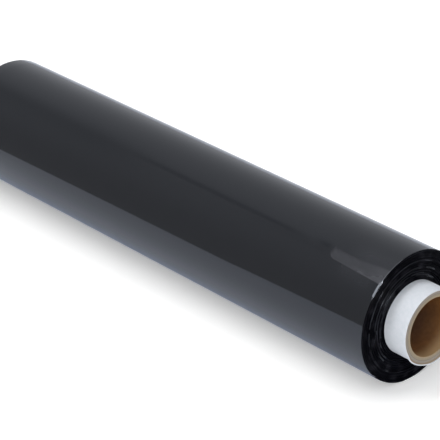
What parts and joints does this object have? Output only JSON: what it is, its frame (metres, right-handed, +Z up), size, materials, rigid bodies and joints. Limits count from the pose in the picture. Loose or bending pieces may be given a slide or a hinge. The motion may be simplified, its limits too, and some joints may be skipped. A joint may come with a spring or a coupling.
{
  "type": "stretch wrap roll",
  "caption": "Roll of glossy black stretch film wound on a white-faced paperboard tube that stands proud at both ends, for wrapping packs and pallets.",
  "frame": {"origin": "centre of the tube's lower end, on the surface that the roll stands on", "axes": "+Z up along the tube; the roll is the same all round, apart from the film's tail, so +X and +Y are free"},
  "size_m": [0.109, 0.109, 0.5428],
  "materials": {
    "stretch_film": "glossy black polyethylene film",
    "paperboard_tube": "smooth white paper outside, brown kraft bore"
  },
  "bodies": {
    "root": {"film_roll": "stretch_film", "core": "paperboard_tube"}
  },
  "joints": []
}
